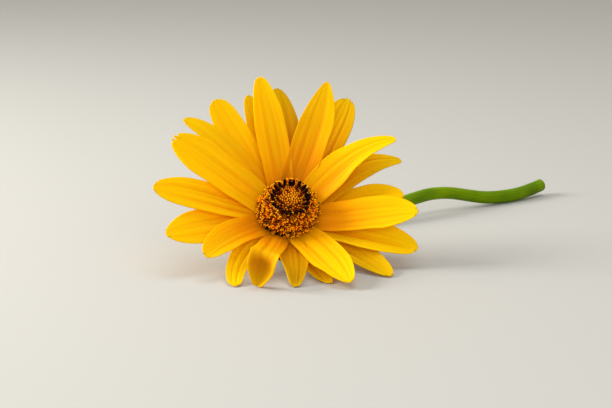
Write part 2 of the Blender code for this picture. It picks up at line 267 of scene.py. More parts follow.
# Painted shade: a dark brown for the petals behind and for the hollows
PAINTED_SHADE_BROWN = linear("#5A3400")
CLOUD_SHARE = 0.3
PIGMENT_SHIFT = -0.5
GLOW_SHARE = 0.34


def petal_colour(tree, place, veins):
    """Orange to yellow along the blade, deeper in its veins, with painted shade in its grooves."""
    along = share_of(tree, place, ALONG)
    # A slow wander makes the orange of the root fade out unevenly.
    cloud = streaks(tree, place, across=5.0, along=1.6, detail=2.0, seed=carried(tree, "tone"))
    shifted = calculate(tree, "MULTIPLY_ADD", cloud, CLOUD_SHARE, along)
    # Some petals hold more pigment than others, which carries the orange further out. For several
    # it is partly painted shade, and for a few in cast shadow less pigment is painted light.
    held = calculate(tree, "MULTIPLY_ADD", carried(tree, "deep"), PIGMENT_SHIFT, shifted)
    body = colour_ramp(tree, held, PETAL_COLOURS)
    threads = follow(tree, veins, low=0.44, high=0.66, at_low=0.0, at_high=0.4)
    veined = mix_colours(tree, threads, body, VEIN_ORANGE)
    # Painted shade: deeper colour lies in the grooves, most of all near the root.
    rooted = follow(tree, along, low=0.0, high=0.6, at_low=0.65, at_high=0.3)
    valleys = calculate(tree, "MULTIPLY", carried(tree, "groove"), rooted, clamp=True)
    return mix_colours(tree, valleys, veined, GROOVE_SHADE_ORANGE)


def petal_tissue():
    """Satin tissue that lets light through."""
    made, tree = new_material("petal_tissue")
    # Veins about 0.35 mm apart, on a blade some 10 mm wide and 32 mm long.
    place = blade_map(tree)
    veins = streaks(tree, place, across=28.0, along=1.3, detail=3.0, seed=carried(tree, "tone"))
    # Painted shade: the petals behind, and the hollows, are a browner gold for both kinds of light.
    shade = carried(tree, "shade")
    normal = relief(tree, veins, strength=0.4, depth=0.12)
    satin = principled(
        tree,
        {
            "Base Color": mix_colours(tree, shade, petal_colour(tree, place, veins), PAINTED_SHADE_BROWN),
            "Roughness": 0.55,
            "IOR": 1.35,
            "Specular IOR Level": 0.08,
            "Normal": normal,
        },
    )
    through = {"Color": mix_colours(tree, shade, GLOW_YELLOW, PAINTED_SHADE_BROWN), "Normal": normal}
    glow = add_node(tree, "ShaderNodeBsdfTranslucent", {}, through).outputs[0]
    both = add_node(tree, "ShaderNodeMixShader", {}, {0: GLOW_SHARE, 1: satin, 2: glow})
    cover(tree, both.outputs[0])
    return made


PETAL_TISSUE = petal_tissue()
print("made", PETAL_TISSUE.name, "with", len(PETAL_TISSUE.node_tree.nodes), "nodes")

# %% [markdown]
# Petals could be sculpted one by one. Here all of them grow by one rule, and each has a row of
# numbers of its own, because a number is quickly changed when a petal doesn't match. In order
# they are: the clock angle of the root and how far the blade turns on its way, its length and
# width, its rise out of the face and the bend added to that, the roll at its tip, the arc of its
# cross-section, where it is widest, how square and how pointed it ends, its layer, the depth of
# the tip's notches, the ripple of its margins, its bow sideways, and its extra pigment, which for
# some petals is partly painted shade and for a few painted light. Some need more: where the bend
# starts and ends, another arc past it, a raised margin, painted brown shade in the hollow past
# the fold, a blunter tip, or painted shade that makes it a browner gold all over. Angles are in
# degrees.

# %% The numbers of a petal
Petal = namedtuple(
    "Petal",
    "clock turn length width rise bend roll cup widest square point layer notch ripple sway deep "
    "start end tip_cup flare fold blunt shade",
    defaults=(0.3, 1.0, None, 0.0, 0.0, 0.2, 0.0),
)
# The roots sit in four layers under the disc's rim, at these heights.
LAYER_DEPTH = {"front": -0.6, "middle": -1.5, "back": -2.4, "last": -3.3}
print("numbers of a petal:", len(Petal._fields), "of which may be left out:", len(Petal._field_defaults))

# %% [markdown]
# The rule starts with the blade's middle line. It leaves the rim at a rise, bends on its way and
# turns a little, so it is walked step by step in the direction that the blade has there. A second
# function spreads the blade: from a claw at the root to its widest place, and on to the tip.

# %% A blade's middle line and width
LINE_STEPS = 160
# The deeper a root lies, the more it is raised, but only near the root.
ROOT_RAISE = 0.6
ROOT_POWER = 4
CLAW_FULLNESS = 0.75


def bend_done(blade, along):
    """How much of its bend a blade has made at a share of its length, from 0 to 1."""
    share = np.clip((along - blade.start) / (blade.end - blade.start), 0.0, 1.0)
    return share * share * (3.0 - 2.0 * share)


def centre_line(blade, root_radius, depth):
    """The blade's middle line and its headings, in millimetres in the head's axes."""
    along = np.linspace(0.0, 1.0, LINE_STEPS + 1)
    curl = blade.turn * along - 4.0 * blade.sway * along * (1.0 - along)
    heading = np.radians(blade.clock + curl)
    lift = np.radians(blade.rise + blade.bend * bend_done(blade, along))
    across = np.stack([np.sin(heading), np.cos(heading)], axis=1)
    forward = np.column_stack([across * np.cos(lift)[:, None], np.sin(lift)])
    step = blade.length / LINE_STEPS
    walked = np.vstack([np.zeros(3), np.cumsum((forward[1:] + forward[:-1]) / 2, axis=0)])
    first = math.radians(blade.clock)
    root = np.array([math.sin(first) * root_radius, math.cos(first) * root_radius, depth])
    line = root + walked * step
    # The layers close up at the rim, so the deeper roots come nearer to the front ones.
    line[:, 2] += ROOT_RAISE * (LAYER_DEPTH["front"] - depth) * (1.0 - along) ** ROOT_POWER
    side = np.column_stack([np.cos(heading), -np.sin(heading), np.zeros(len(along))])
    return along, line, forward, side


def half_width(along, blade, root_share):
    """A claw that widens to the blade's widest place, and from there a round or pointed tip."""
    grown = np.sin(np.pi / 2 * np.clip(along / blade.widest, 0.0, 1.0)) ** CLAW_FULLNESS
    past = np.clip((along - blade.widest) / (1.0 - blade.widest), 0.0, 1.0)
    tip = blade.blunt + (1.0 - blade.blunt) * (1.0 - past**blade.square) ** blade.point
    return blade.width / 2 * (root_share + (1.0 - root_share) * grown) * tip


print("middle lines are walked in", LINE_STEPS, "steps")

# %% [markdown]
# Petals are ridged lengthwise by the tissue between their main veins: two clear grooves and three
# faint ones, and finer veins between them. Their margins wave. A bump pattern could fake all of
# this, but these forms catch the light and shape the outline, so they are in the mesh. A seed for
# each petal makes its grooves and waves differ from its neighbours'.

# %% Grooves and waves
# Each groove: its place across the blade, and the least and most of its depth
GROOVES = ((-0.66, 0.0, 0.6), (-0.33, 0.4, 1.6), (0.0, 0.0, 0.8), (0.33, 0.4, 1.6), (0.66, 0.0, 0.6))
# Chance moves a groove sideways, and on its way it wanders a little.
GROOVE_DRIFT = 0.09
GROOVE_WANDER = 0.04
WANDER_RADIANS = 4.0
GROOVE_BREADTH = (0.09, 0.17)
# Near the root the grooves are deeper by this part.
ROOT_GAIN = 0.6
# Each margin has a slow wave along it and a quick one of half its height.
LEFT_WAVES = (1.7, 3.9)
RIGHT_WAVES = (1.5, 4.3)
QUICK_SHARE = 0.5
MARGIN_POWER = 3
# Towards a blade's ends its grooves and veins fade a little sooner than its keel and its waves.
GROOVE_FADE = 0.6
SLOW_FADE = 0.5


def groove_depths(row, column, phase, chance):
    """How deep each point of a blade lies in its grooves."""
    strength = (1.0 + ROOT_GAIN * (1.0 - row) ** 2) * np.sin(np.pi * row) ** GROOVE_FADE
    depths = np.zeros(row.shape)
    for place, least, most in GROOVES:
        drift = place + chance.uniform(-GROOVE_DRIFT, GROOVE_DRIFT)
        drift = drift + GROOVE_WANDER * np.sin(WANDER_RADIANS * row + phase)
        depth = chance.uniform(least, most)
        breadth = chance.uniform(*GROOVE_BREADTH)
        depths = depths + depth * strength * np.exp(-(((column - drift) / breadth) ** 2))
    return depths


def wave(row, count, phase):
    """So many waves from a blade's root to its tip."""
    return np.sin(2.0 * np.pi * count * row + phase)


def margin_waves(row, column, phase):
    """The waves of the left and of the right margin, which the blade's middle has no part in."""
    left = wave(row, LEFT_WAVES[0], phase[1]) + QUICK_SHARE * wave(row, LEFT_WAVES[1], phase[2])
    right = wave(row, RIGHT_WAVES[0], phase[3]) + QUICK_SHARE * wave(row, RIGHT_WAVES[1], phase[4])
    edge = np.abs(column) ** MARGIN_POWER * np.sin(np.pi * row) ** SLOW_FADE
    return edge * np.where(column < 0.0, left, right)


print("grooves of a petal:", len(GROOVES))

# %% [markdown]
# Now the surface itself: rows of points from root to tip, each row an arc across the middle line.
# The tip loses a little at three places, which makes its notches. Three values go with each
# point, and the tissue's shader reads them: how deep it lies in a groove, how much pigment it
# holds, which is partly painted shade, and how much painted shade turns it a browner gold.

# %% A blade's surface
# Rows lie closer together towards the tip.
ROW_CROWDING = 1.15
# The tip's sides lose this part of the length, and its notches lose theirs, near the tip only.
TIP_ROUNDING = 0.022
NOTCHES = 3
TIP_POWER = 6
ARC_HAIR = 0.01
# The least and most of the keel, as a part of the half width, and how round its ridge is
KEEL = (-0.05, 0.22)
KEEL_ROUNDING = 0.2
# Fine raised veins across the blade, which wander a little on their way
VEINS = 15
VEIN_WANDER = 0.6
VEIN_RADIANS = 5.0
# The blade's width wavers by this part of it, in so many waves.
EDGE_WAVER = 0.02
EDGE_WAVES = 2.2
# How much extra pigment paints the shade of a hollow where it is brownest
HOLLOW_SHADE_PIGMENT = 2.9
# The hollow's painted shade stops short of the tip, of the raised margin and of both sides. The
# higher the power, the closer to them it comes.
HOLLOW_TO_TIP = 16
HOLLOW_TO_FLARE = 3
HOLLOW_TO_SIDES = 8


def blade_points(blade, rows, columns, root_radius, depth, root_share, pleat, vein, seed):
    """The middle surface of a blade, as rows by columns of points, and the values they carry."""
    along, line, forward, side = centre_line(blade, root_radius, depth)
    share = 1.0 - (1.0 - np.linspace(0.0, 1.0, rows)) ** ROW_CROWDING
    row, column = np.meshgrid(share, np.linspace(-1.0, 1.0, columns), indexing="ij")
    chance = np.random.default_rng(seed)
    phase = chance.uniform(0.0, 2.0 * np.pi, 6)
    lobes = np.cos(NOTCHES * np.pi * column)
    lost = TIP_ROUNDING * column**2 + blade.notch / blade.length * (1.0 + lobes) / 2
    place = row - lost * row**TIP_POWER
    at, ahead, aside = [
        np.stack([np.interp(place, along, known[:, k]) for k in range(3)], axis=-1)
        for known in (line, forward, side)
    ]
    above = np.cross(aside, ahead)
    roll = np.radians(blade.roll * place)[..., None]
    out = np.cos(roll) * aside + np.sin(roll) * above
    over = np.cos(roll) * above - np.sin(roll) * aside
    half = half_width(row, blade, root_share)
    bent = bend_done(blade, row)
    tip_cup = blade.cup if blade.tip_cup is None else blade.tip_cup
    # An arc of exactly zero would divide by zero, so a hair is added.
    arc = np.radians(blade.cup + (tip_cup - blade.cup) * bent + ARC_HAIR)
    reach = half * np.sin(arc * column) / arc
    height = half * (1.0 - np.cos(arc * column)) / arc
    # A soft keel along the middle turns the blade's two halves to the light differently.
    keel = chance.uniform(*KEEL) * half * (np.sqrt(column**2 + KEEL_ROUNDING**2) - KEEL_ROUNDING)
    height = height + keel * np.sin(np.pi * row) ** SLOW_FADE
    grooves = groove_depths(row, column, phase[1], chance)
    height = height - pleat * grooves
    ridges = np.cos(VEINS * np.pi * column + VEIN_WANDER * np.sin(VEIN_RADIANS * row))
    height = height + vein * ridges * np.sin(np.pi * row) ** GROOVE_FADE
    height = height + blade.ripple * margin_waves(row, column, phase)
    margin = np.clip(column * math.copysign(1.0, blade.flare), 0.0, 1.0)
    height = height + abs(blade.flare) * margin**2 * bent
    reach = reach * (1.0 + EDGE_WAVER * wave(row, EDGE_WAVES, phase[5] + column))
    # Painted shade in the hollow past the fold: extra pigment and a browner gold
    hollow = blade.fold * bent**2 * (1.0 - row**HOLLOW_TO_TIP)
    hollow = hollow * (1.0 - margin**HOLLOW_TO_FLARE) * (1.0 - column**HOLLOW_TO_SIDES)
    values = {
        "groove": grooves,
        "deep": blade.deep + HOLLOW_SHADE_PIGMENT * hollow,
        "shade": blade.shade + hollow,
    }
    return at + reach[..., None] * out + height[..., None] * over, values


print("veins across a blade:", VEINS, "notches at its tip:", NOTCHES)

# %% [markdown]
# A flat grid is moved onto those points, so its UV map already runs across and along the blade.
# A Solidify modifier then gives the tissue its thickness. A few tips touch the floor: where one
# would sink in, it is pressed flat, as a real soft tip is. The grid, the finished mesh and the
# object each get a helper of their own, because the stem, the disc and the lights need them too.

# %% From points to a blade
PRESS = 0.25


def mapped_grid(columns, rows):
    """A flat grid of points, with a map that runs across and along it."""
    sheet = bmesh.new()
    sheet.loops.layers.uv.new("blade")
    across = columns - 1
    along = rows - 1
    bmesh.ops.create_grid(sheet, x_segments=across, y_segments=along, size=1.0, calc_uvs=True)
    return sheet


def grid_points(sheet, columns, rows):
    """Each point of such a grid, with its row and its column."""
    for vertex in sheet.verts:
        row = round((vertex.co.y + 1.0) / 2.0 * (rows - 1))
        column = round((vertex.co.x + 1.0) / 2.0 * (columns - 1))
        yield vertex, row, column


def finished(name, shape):
    """A smooth mesh from a bmesh, which isn't needed after that."""
    mesh = bpy.data.meshes.new(name)
    shape.to_mesh(mesh)
    shape.free()
    mesh.shade_smooth()
    return mesh


def in_scene(name, data):
    """An object for a mesh, a light or a camera."""
    made = bpy.data.objects.new(name, data)
    bpy.context.scene.collection.objects.link(made)
    return made


def blade_piece(name, points, values, thickness, finish, tone):
    """A grid moved onto the points, carried to where the head lies, and given its thickness."""
    rows, columns = points.shape[:2]
    lowest = thickness / 2 * MM
    values = {"tone": np.full((rows, columns), tone), **values}
    sheet = mapped_grid(columns, rows)
    # The layers come before the points are read, because a new layer drops what was read.
    layers = {label: sheet.verts.layers.float.new(label) for label in values}
    for vertex, row, column in grid_points(sheet, columns, rows):
        place = HEAD @ (Vector(points[row, column]) * MM)
        over = place.z - lowest
        place.z = lowest + (over + math.hypot(over, PRESS * MM)) / 2
        vertex.co = place
        for label, value in values.items():
            vertex[layers[label]] = value[row, column]
    mesh = finished(name, sheet)
    mesh.materials.append(finish)
    made = in_scene(name, mesh)
    solid = made.modifiers.new("thickness", "SOLIDIFY")
    solid.thickness = thickness * MM
    solid.offset = 0.0
    return made


print("a tip is pressed flat over its last", PRESS, "mm or so")

# %% [markdown]
# The 22 petals were read off the flower one by one, clockwise from the top. Most run out and bend
# a little. Petal 14 is the odd one: it climbs and then folds over, so that its outer half hangs,
# and its hollow past the fold is brown with painted shade. Petal 13 has a shallow hollow of that
# kind.

# %% The petals' numbers
PETALS = (
    Petal(351, -1, 35.5, 9.5, 26, -8, -6, 12, 0.55, 1.6, 0.8, "front", 0.6, 0.2, 0, 0.1, blunt=0.28),
    Petal(2, -13, 33, 10, 21, -3, 0, -3, 0.55, 2.0, 0.7, "back", 0.25, 0.1, -2, 0.6, shade=0.3),
    Petal(19, -7, 34.5, 10.5, 30, -6, 0, 12, 0.6, 1.5, 0.95, "front", 0.1, 0.2, -8, 0.4, shade=0.06),
    Petal(33, -6, 34, 10, 20, 0, 0, -3, 0.6, 2.2, 0.5, "back", 0.7, 0.1, 0, 0.5, shade=0.2),
    Petal(53, 38, 32.5, 10, 33, -20, 4, 10, 0.35, 1.3, 0.9, "front", 0.1, 0.2, 8, -0.1, start=0.4),
    Petal(
        62, 31, 31, 9, 24, -28, 4, 5, 0.45, 1.6, 0.95, "middle", 0.1, 0.12, 9, 0.1,
        start=0.4, shade=0.2,
    ),
    Petal(83, 8, 27.5, 11, 14, 2, -4, -3, 0.6, 1.9, 0.7, "back", 0.3, 0.1, 0, -0.4),
    Petal(105, -1, 31.5, 11, 19, -4, -2, 12, 0.65, 1.5, 0.65, "front", 0.6, 0.18, 9, 0.3),
    Petal(114, -7, 32.5, 10, 12, -16, -1, 6, 0.55, 2.1, 0.6, "middle", 0.3, 0.1, -1, -0.7),
    Petal(125, 31, 32, 8.5, 9, 20, 12, 4, 0.55, 2.1, 0.7, "back", 0.2, 0.08, 6, 0.1, shade=0.12),
    Petal(154, 10, 32.5, 11, 31, -3, 3, 12, 0.5, 1.7, 0.7, "front", 0.2, 0.15, 2, -0.2),
    Petal(164, -3, 26.5, 7.5, 24, 6, 2, -2, 0.5, 1.2, 0.8, "back", 0.6, 0.05, 1, -0.8),
    Petal(
        179, 12, 27.5, 8.5, 31, -8, 0, 13, 0.45, 1.2, 0.65, "middle", 0.3, 0.08, 4, 0.4,
        tip_cup=26, fold=0.3, shade=0.2,
    ),
    Petal(
        200, 5, 38, 8.3, 47, -108, 0, -24, 0.8, 1.2, 0.8, "front", 0.3, 0.1, 2, 0.6,
        start=0.64, end=0.77, tip_cup=34, flare=-0.8, fold=0.29, shade=0.05,
    ),
    Petal(228, -49, 31, 6.5, 23, 2, 3, -2, 0.5, 1.7, 0.4, "back", 0.1, 0.05, -2, -1.2),
    Petal(241, -36, 27.5, 9, 25, -4, 6, 12, 0.55, 1.9, 0.6, "front", 0.3, 0.12, -6, 0.4),
    Petal(257, -18, 33, 12, 22, 0, 6, -3, 0.55, 1.8, 0.75, "back", 0.3, 0.1, -1, 0),
    Petal(277, -12, 35, 10, 25, 0, 7, 6, 0.5, 2.3, 0.55, "middle", 0.2, 0.15, 1, -0.4),
    Petal(298, 4, 33.5, 11.5, 28, -4, 5, 12, 0.7, 1.7, 0.75, "front", 1.5, 0.2, 3, -0.4, blunt=0.3),
    Petal(
        318, -28, 35, 7.5, 27, -18, -3, 5, 0.45, 1.7, 0.6, "middle", 0.6, 0.1, -9, 0,
        start=0.35, shade=0.08,
    ),
    Petal(329, -2, 34, 9.5, 22, 0, -1, -3, 0.6, 2.2, 0.4, "back", 0.2, 0.1, -1, -0.5),
    Petal(345, -2, 33, 7, 17, 0, 0, -3, 0.5, 1.9, 0.55, "last", 0.2, 0.08, -2, 0.1, shade=0.1),
)
print("lengths from", min(blade.length for blade in PETALS), "to", max(blade.length for blade in PETALS))

# %% [markdown]
# With the rule and the numbers in place, a loop makes all the petals. Each is a piece of its own,
# because each replaces a solid of its own. Their roots stand close under the disc's rim, where
# the claw is still most of the blade's width.

# %% The petals
ROOT_RADIUS = 7.75
ROOT_SHARE = 0.8
PLEAT_DEPTH = 0.28
VEIN_HEIGHT = 0.035
PETAL_THICK = 0.34
PETAL_ROWS = 80
PETAL_COLUMNS = 41
# Each petal reads its noise so far from the last one's, which gives it streaks of its own.
TONE_STEP = 3.7

petals = []
for number, blade in enumerate(PETALS, start=1):
    points, values = blade_points(
        blade,
        rows=PETAL_ROWS,
        columns=PETAL_COLUMNS,
        root_radius=ROOT_RADIUS,
        depth=LAYER_DEPTH[blade.layer],
        root_share=ROOT_SHARE,
        pleat=PLEAT_DEPTH,
        vein=VEIN_HEIGHT,
        seed=number,
    )
    node = f"ray_petal_{number:02d}"
    name = f"petal_{number:02d}"
    petal = blade_piece(name, points, values, PETAL_THICK, PETAL_TISSUE, TONE_STEP * number)
    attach(petal, "root")
    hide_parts(node)
    petals.append(petal)
print("petals:", len(petals), "with", PETAL_ROWS, "rows of", PETAL_COLUMNS, "points each")

# %% [markdown]
# The rest of the head is small soft bodies whose colour changes from foot to top. One function
# makes a tissue for each of them: a number that the mesh carries, its tone, picks the colour from
# a ramp, and a fine cell pattern breaks it up. Two more helpers spin an outline about the head's
# axis and set a finished mesh in its place.

# %% Small tissues and turned shapes
SPECKLE_SHARE = 0.3


def tissue(name, steps, roughness, speckle, bump):
    """Soft plant tissue whose colour follows each piece's tone, with a fine cell pattern."""
    made, tree = new_material(name)
    cells = object_noise(tree, scale=1.0 / (speckle * MM), detail=3.0)
    shifted = calculate(tree, "MULTIPLY_ADD", cells, SPECKLE_SHARE, carried(tree, "tone"))
    skin = principled(
        tree,
        {
            "Base Color": colour_ramp(tree, shifted, steps),
            "Roughness": roughness,
            "IOR": 1.42,
            "Specular IOR Level": 0.08,
            "Normal": relief(tree, cells, strength=0.5, depth=bump),
        },
    )
    cover(tree, skin)
    return made


def turned(name, profile, steps, tone):
    """A surface of revolution about Z, in millimetres, from radii and heights from the bottom up."""
    shape = bmesh.new()
    loop = [shape.verts.new((radius, 0.0, height)) for radius, height in profile]
    edges = [shape.edges.new(pair) for pair in zip(loop, loop[1:])]
    bmesh.ops.spin(
        shape,
        geom=loop + edges,
        cent=(0, 0, 0),
        axis=(0, 0, 1),
        angle=2 * math.pi,
        steps=steps,
        use_merge=True,
    )
    bmesh.ops.remove_doubles(shape, verts=shape.verts, dist=1e-4)
    bmesh.ops.recalc_face_normals(shape, faces=shape.faces)
    mesh = finished(name, shape)
    tones = mesh.attributes.new("tone", "FLOAT", "POINT")
    tones.data.foreach_set("value", np.full(len(mesh.vertices), tone, np.float32))
    return mesh


def place_piece(name, mesh, finish, nodes):
    """An object that stands for solids, whose mesh is carried to where the head lies."""
    mesh.transform(HEAD @ Matrix.Scale(MM, 4))
    mesh.materials.clear()
    mesh.materials.append(finish)
    made = in_scene(name, mesh)
    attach(made, "root")
    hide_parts(*nodes)
    return made


print("speckles move a tissue's tone by up to", SPECKLE_SHARE)

# %% [markdown]
# The disc is a domed cushion set with hundreds of florets. Its core is a turned shape: the
# outline of the dome, spun about the head's axis. The core is the shaded floor between florets
# and hardly shows, so its rough, dark orange-brown is painted shade. It also stops light from
# leaking between them.

# %% The disc's core
DISC_RADIUS = 7.6
DISC_BASE = 0.3
DISC_HEIGHT = 8.1
DISC_FULLNESS = 2.3
OUTLINE_STEPS = 40
CORE_FOOT = 5.0
ROUND_STEPS = 96


def dome_point(share):
    """A point of the disc's outline, from the rim at share 0 to the middle at share 1."""
    if share >= 1.0:
        return 0.0, DISC_BASE + DISC_HEIGHT
    power = 2.0 / DISC_FULLNESS
    angle = share * math.pi / 2
    return DISC_RADIUS * math.cos(angle) ** power, DISC_BASE + DISC_HEIGHT * math.sin(angle) ** power


# Painted shade: the dark browns of the floor between florets
CORE_SHADE_BROWNS = [(0.0, "#3A0E02"), (1.0, "#8A3002")]
CORE_TISSUE = tissue("disc_core", CORE_SHADE_BROWNS, roughness=0.8, speckle=0.5, bump=0.1)
outline = [dome_point(k / OUTLINE_STEPS) for k in range(OUTLINE_STEPS + 1)]
core = turned("disc_core", [(CORE_FOOT, DISC_BASE)] + outline, steps=ROUND_STEPS, tone=0.3)
place_piece("disc_core", core, CORE_TISSUE, ["disc_florets_open"])
print("disc core:", len(core.polygons), "faces")

# %% [markdown]
# A disc floret is a tiny tube with five pointed lobes. From an open one rises a dark tube of
# anthers, and out of it two curled style arms, dusted with pollen. The plant spaces its florets
# by the golden angle, each one turned so far from the one before, and so does this script, with
# a little chance in place, tilt and size. A Geometry Nodes scatter could do it too, but here each
# step can be read.

# %% Where florets stand
GOLDEN_ANGLE = math.radians(137.508)
# The disc's middle stands a little to one side of its rim's middle.
DISC_LEAN = Vector((0.5, -0.35, 0.0))
SLOPE_STEP = 0.01
SPIRAL_SAMPLES = 200
chance = random.Random(7)


def near(value, spread):
    """A value that differs by chance from one floret or leaf to the next."""
    return value + chance.uniform(-spread, spread)


def outline_at(share):
    """The radius and height of the dome at a share, and the outward slope there."""
    before = dome_point(max(share - SLOPE_STEP, 0.0))
    after = dome_point(min(share + SLOPE_STEP, 1.0))
    run = Vector((after[0] - before[0], after[1] - before[1])).normalized()
    return *dome_point(share), run.y, -run.x


def stand(share, turn, lean, sink, size, spin, wobble):
    """The matrix that stands a floret on the dome, with its Z axis outwards."""
    radius, height, outward, upward = outline_at(share)
    around = Vector((math.sin(turn), math.cos(turn), 0.0))
    out = around * outward + Vector((0.0, 0.0, upward + lean))
    out = out.normalized() + Vector([near(0.0, wobble) for axis in range(3)])
    out.normalize()
    at = around * radius + Vector((0.0, 0.0, height)) - out * sink + DISC_LEAN * share
    facing = out.to_track_quat("Z", "Y").to_matrix().to_4x4()
    return Matrix.Translation(at) @ facing @ Matrix.Rotation(spin, 4, "Z") @ Matrix.Scale(size, 4)


def spiral_shares(first, last, count):
    """Shares that spread florets evenly over the dome between two shares."""
    shares = np.linspace(first, last, SPIRAL_SAMPLES)
    places = np.array([dome_point(share) for share in shares])
    steps = np.hypot(*np.diff(places, axis=0).T) * (places[1:, 0] + places[:-1, 0])
    area = np.concatenate([[0.0], np.cumsum(steps)]) / steps.sum()
    return np.interp((np.arange(count) + 0.5) / count, area, shares)


print("at share 0.5 the dome's radius is", round(dome_point(0.5)[0], 1), "mm")

# %% [markdown]
# A few small shapes are made once and copied hundreds of times. All copies of one colour go into
# one mesh, because so many objects would be slow to handle. Every copy keeps a tone of its own.

# %% Many copies in one mesh


def planted(name, shape, stands, tones):
    """One mesh that holds a copy of the shape at every stand, each with a tone of its own."""
    bed = bmesh.new()
    for matrix, tone in zip(stands, tones):
        sprig = shape.copy()
        sprig.transform(matrix)
        base = np.zeros(len(sprig.vertices), np.float32)
        sprig.attributes["tone"].data.foreach_get("value", base)
        sprig.attributes["tone"].data.foreach_set("value", base + tone)
        bed.from_mesh(sprig)
        bpy.data.meshes.remove(sprig)
    return finished(name, bed)


def tone_by_height(mesh, low, high):
    """Raises the tone of a small shape from low at its foot to high at its top."""
    heights = np.array([vertex.co.z for vertex in mesh.vertices])
    share = (heights - heights.min()) / (heights.max() - heights.min())
    tones = (low + (high - low) * share).astype(np.float32)
    mesh.attributes["tone"].data.foreach_set("value", tones)


print("helpers for copies:", planted.__name__, tone_by_height.__name__)

# %% [markdown]
# The open floret's tube is spun from a short profile of radii and heights. Every second point of
# its rim is then pulled out, and the points between are drawn in and down, which makes the five
# lobes. The arms are two small circles, spun about an axis beside them. Tones rise from the foot
# to the tip, so that one material can shade each floret from dark to light, and the dark foot is
# painted shade, deep among the crowded florets.

# %% The shapes of an open floret
LOBES = 5
TUBE_PROFILE = [(0.2, 0.0), (0.22, 1.5), (0.33, 2.1), (0.46, 2.35)]
TUBE_RIM = 2.3
LOBE_REACH = 1.35
GAP_REACH = 0.72
GAP_DROP = 0.25
ARM_RADIUS = 0.23
ARM_FOOT = 2.5
CURL_RADIUS = 0.27
CURL_ANGLE = math.radians(110.0)
ANTHER_PROFILE = [(0.2, 1.7), (0.24, 2.4), (0.2, 2.8), (0.0, 2.95)]


def open_tube():
    """A tube that opens into five lobes."""
    tube = turned("open_tube", TUBE_PROFILE, steps=2 * LOBES, tone=0.0)
    for vertex in tube.vertices:
        if vertex.co.z > TUBE_RIM:
            turn = math.atan2(vertex.co.y, vertex.co.x) / math.pi * LOBES
            lobe = round(turn) % 2 == 0
            vertex.co.x *= LOBE_REACH if lobe else GAP_REACH
            vertex.co.y *= LOBE_REACH if lobe else GAP_REACH
            vertex.co.z -= 0.0 if lobe else GAP_DROP
    # The dark foot is painted shade among the crowded florets.
    tone_by_height(tube, low=0.0, high=0.7)
    return tube


def style_arms():
    """Two short, thick arms that curl away from each other and down."""
    arms = bmesh.new()
    for side in (1, -1):
        ring = bmesh.ops.create_circle(arms, cap_ends=True, segments=6, radius=ARM_RADIUS)["verts"]
        foot = Vector((0.5 * ARM_RADIUS * side, 0.0, ARM_FOOT))
        bmesh.ops.translate(arms, vec=foot, verts=ring)
        face = ring[0].link_faces[0]
        bmesh.ops.spin(
            arms,
            geom=[face],
            cent=foot + Vector((CURL_RADIUS * side, 0.0, 0.0)),
            axis=(0.0, side, 0.0),
            angle=CURL_ANGLE,
            steps=4,
        )
    bmesh.ops.recalc_face_normals(arms, faces=arms.faces)
    mesh = finished("style_arms", arms)
    mesh.attributes.new("tone", "FLOAT", "POINT")
    tone_by_height(mesh, low=0.25, high=0.85)
    return mesh


print("a floret is", TUBE_PROFILE[-1][1], "mm long and has", LOBES, "lobes")

# %% [markdown]
# Three tissues meet in an open floret. The tube is thin and full of orange pigment: satin, and
# dark towards its foot, where the dark is painted shade among the crowded florets. The arms wear
# a coat of pollen grains, so they are paler, powdery and take no clear highlight. The anther tube
# is a dry membrane, almost black with some red-brown.

# %% Open florets' tissues
ORANGE_TUBE = tissue(
    "orange_tube",
    # The darkest steps, at the foot, are painted shade among the crowded florets.
    [(0.0, "#4A1002"), (0.25, "#B03E00"), (0.5, "#F07C00"), (1.0, "#FF9E00")],
    roughness=0.6,
    speckle=0.12,
    bump=0.03,
)
POLLEN_STYLE = tissue(
    "pollen_style",
    [(0.15, "#9A3400"), (0.4, "#EE7600"), (0.8, "#FF9C00"), (1.0, "#FFB008")],
    roughness=0.7,
    speckle=0.08,
    bump=0.02,
)
DARK_ANTHER = tissue(
    "dark_anther",
    [(0.0, "#1A0402"), (0.6, "#380A04"), (1.0, "#6A1C06")],
    roughness=0.6,
    speckle=0.15,
    bump=0.03,
)
print("made", ORANGE_TUBE.name, POLLEN_STYLE.name, DARK_ANTHER.name)

# %% [markdown]
# Open florets fill the outer part of the dome, up to share 0.6. Those at the rim stand out
# sideways, and the further in one stands, the more it is turned up towards the head's axis. Not
# each one has its arms out, or its anthers in sight.

# %% Open florets
OPEN_COUNT = 400
OPEN_TO = 0.6
OPEN_SIZE = 0.96
INNER_SMALLER = 0.12
SIZE_SPREAD = 0.14
RIM_LEAN = 0.15
INNER_LEAN = 0.6
OPEN_SINK = 1.15
SINK_CHANCE = (-0.3, 0.25)
TURN_SPREAD = 0.05
SHARE_SPREAD = 0.012
# About its own axis a floret stands at any angle, in radians.
FULL_TURN = 6.28
OPEN_WOBBLE = 0.2
OPEN_TONES = (-0.2, 0.3)
WITH_ARMS = 0.65
WITH_ANTHERS = 0.6

